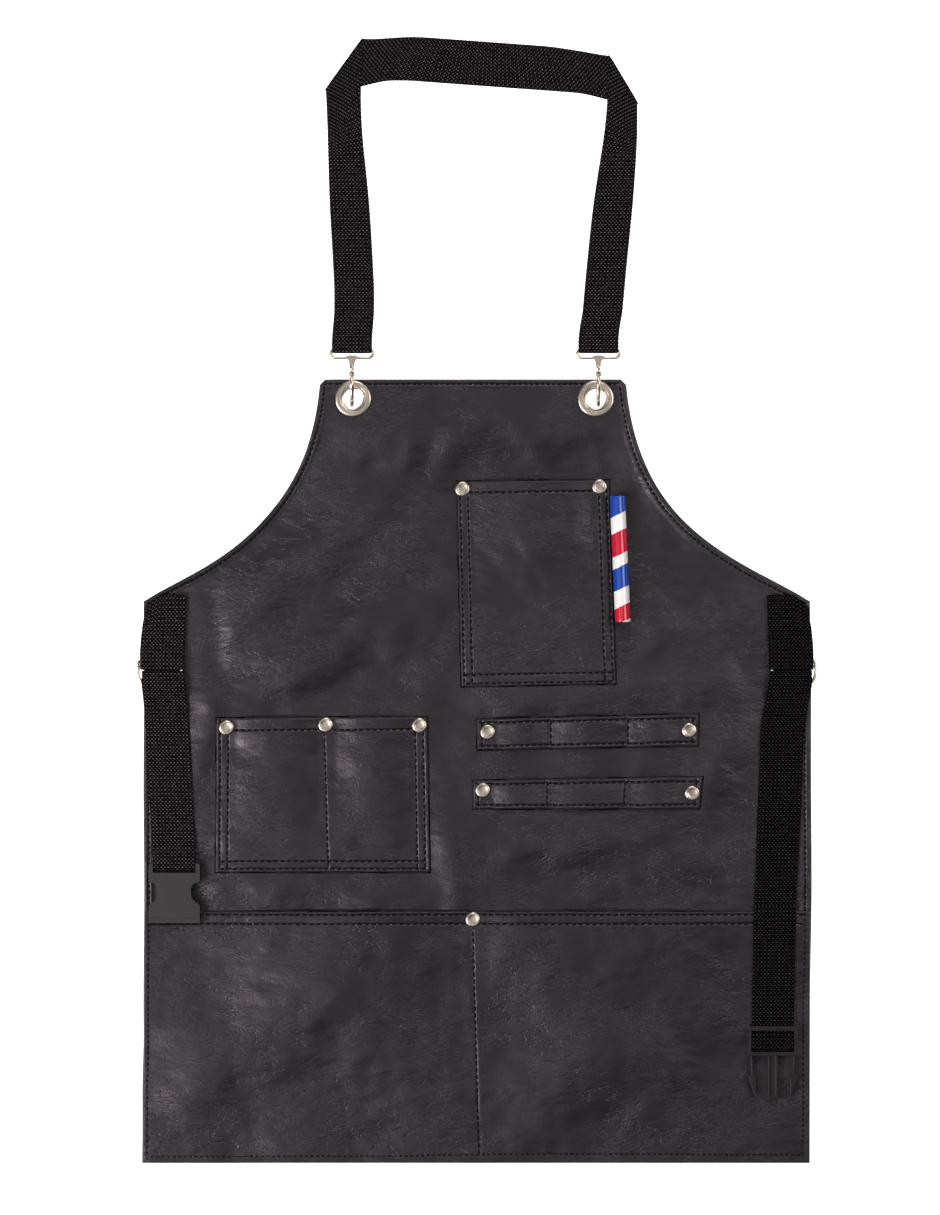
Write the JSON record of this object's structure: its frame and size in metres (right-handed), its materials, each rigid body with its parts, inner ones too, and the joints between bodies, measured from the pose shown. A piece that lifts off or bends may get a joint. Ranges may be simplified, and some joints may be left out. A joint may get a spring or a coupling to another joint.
{
  "type": "bib apron",
  "caption": "Flat-lying barber's bib apron with pockets, tool loops, clip-on neck strap and waist straps with a side-release buckle.",
  "frame": {"origin": "middle of the object's outline, on the surface it lies on", "axes": "+X to the right as seen from the front of the apron, +Y towards the neck strap, +Z out of the front face"},
  "size_m": [0.6056, 1.0084, 0.0212],
  "materials": {
    "leather": "soft charcoal-black faux leather with a fine grain",
    "webbing": "black woven webbing",
    "nickel": "warm polished nickel plate",
    "plastic": "dark moulded plastic, fine satin",
    "stripes": "glossy film striped blue, white and red"
  },
  "bodies": {
    "apron": {"apron_body": "leather", "bottom_pocket": "leather", "side_pocket": "leather", "chest_pocket": "leather", "upper_tool_loops": "leather", "lower_tool_loops": "leather", "striped_tube": "stripes", "chest_pocket_left_rivet_cap": "nickel", "chest_pocket_left_rivet_post": "nickel", "chest_pocket_right_rivet_cap": "nickel", "chest_pocket_right_rivet_post": "nickel", "side_pocket_left_rivet_cap": "nickel", "side_pocket_left_rivet_post": "nickel", "side_pocket_middle_rivet_cap": "nickel", "side_pocket_middle_rivet_post": "nickel", "side_pocket_right_rivet_cap": "nickel", "side_pocket_right_rivet_post": "nickel", "upper_loop_left_rivet_cap": "nickel", "upper_loop_left_rivet_post": "nickel", "upper_loop_right_rivet_cap": "nickel", "upper_loop_right_rivet_post": "nickel", "lower_loop_left_rivet_cap": "nickel", "lower_loop_left_rivet_post": "nickel", "lower_loop_right_rivet_cap": "nickel", "lower_loop_right_rivet_post": "nickel", "bottom_pocket_rivet_cap": "nickel", "bottom_pocket_rivet_post": "nickel", "left_eyelet": "nickel", "left_eyelet_washer": "nickel", "right_eyelet": "nickel", "right_eyelet_washer": "nickel", "left_side_tab": "webbing", "right_side_tab": "webbing"},
    "left_eye": {"left_hook_eye": "nickel"},
    "left_snap_hook": {"left_hook": "nickel", "left_gate_pin": "nickel", "left_gate_spring": "nickel"},
    "left_gate": {"left_hook_gate": "nickel"},
    "right_eye": {"right_hook_eye": "nickel"},
    "right_snap_hook": {"right_hook": "nickel", "right_gate_pin": "nickel", "right_gate_spring": "nickel"},
    "right_gate": {"right_hook_gate": "nickel"},
    "neck_strap": {"neck_strap": "webbing"},
    "left_waist": {"left_d_ring": "nickel", "left_waist_strap": "webbing"},
    "right_waist": {"right_d_ring": "nickel", "right_waist_strap": "webbing"},
    "socket_half": {"buckle_socket": "plastic", "left_strap_end": "webbing"},
    "prong_half": {"buckle_frame": "plastic", "right_strap_end": "webbing"},
    "left_arm": {"buckle_left_arm": "plastic"},
    "right_arm": {"buckle_right_arm": "plastic"}
  },
  "joints": [
    {"name": "left_eye_tilt", "type": "hinge", "parent": "apron", "child": "left_eye", "pos_m": [-0.1114, 0.1925, 0.01075], "axis": [1, 0, 0], "range_deg": [-35, 45]},
    {"name": "right_eye_tilt", "type": "hinge", "parent": "apron", "child": "right_eye", "pos_m": [0.1086, 0.1925, 0.01075], "axis": [1, 0, 0], "range_deg": [-35, 45]},
    {"name": "left_hook_swivel", "type": "hinge", "parent": "left_eye", "child": "left_snap_hook", "pos_m": [-0.1114, 0.2045, 0.01075], "axis": [0, 1, 0], "range_deg": [-10, 10]},
    {"name": "left_gate_open", "type": "hinge", "parent": "left_snap_hook", "child": "left_gate", "pos_m": [-0.1114, 0.2009, 0.0147], "axis": [1, 0, 0], "range_deg": [0, 10], "stiffness_Nm_per_rad": 0.02, "springref_deg": -20.05},
    {"name": "right_hook_swivel", "type": "hinge", "parent": "right_eye", "child": "right_snap_hook", "pos_m": [0.1086, 0.2045, 0.01075], "axis": [0, 1, 0], "range_deg": [-10, 10]},
    {"name": "right_gate_open", "type": "hinge", "parent": "right_snap_hook", "child": "right_gate", "pos_m": [0.1086, 0.2009, 0.0147], "axis": [1, 0, 0], "range_deg": [0, 10], "stiffness_Nm_per_rad": 0.02, "springref_deg": -20.05},
    {"name": "neck_strap_tilt", "type": "hinge", "parent": "left_eye", "child": "neck_strap", "pos_m": [-0.1114, 0.2238, 0.01075], "axis": [1, 0, 0], "range_deg": [-60, 100]},
    {"name": "left_ring_turn", "type": "hinge", "parent": "apron", "child": "left_waist", "pos_m": [-0.2813, -0.0547, 0.00585], "axis": [-1, 0, 0], "range_deg": [0, 140]},
    {"name": "right_ring_turn", "type": "hinge", "parent": "apron", "child": "right_waist", "pos_m": [0.2813, -0.0547, 0.00585], "axis": [-1, 0, 0], "range_deg": [0, 140]},
    {"name": "left_strap_bend", "type": "hinge", "parent": "left_waist", "child": "socket_half", "pos_m": [-0.2715, -0.1982, 0.00395], "axis": [-1, 0, 0], "range_deg": [0, 90]},
    {"name": "right_strap_bend", "type": "hinge", "parent": "right_waist", "child": "prong_half", "pos_m": [0.2646, -0.3622, 0.0052], "axis": [-1, 0, 0], "range_deg": [0, 90]},
    {"name": "left_arm_flex", "type": "hinge", "parent": "prong_half", "child": "left_arm", "pos_m": [0.2454, -0.40735, 0.0074], "axis": [0, 0, 1], "range_deg": [0, 8], "stiffness_Nm_per_rad": 0.6, "springref_deg": -1.15},
    {"name": "right_arm_flex", "type": "hinge", "parent": "prong_half", "child": "right_arm", "pos_m": [0.2838, -0.40735, 0.0074], "axis": [0, 0, -1], "range_deg": [0, 8], "stiffness_Nm_per_rad": 0.6, "springref_deg": -1.15}
  ],
  "couplings": [
    {"joint": "right_eye_tilt", "follows": "left_eye_tilt", "ratio": 1}
  ]
}
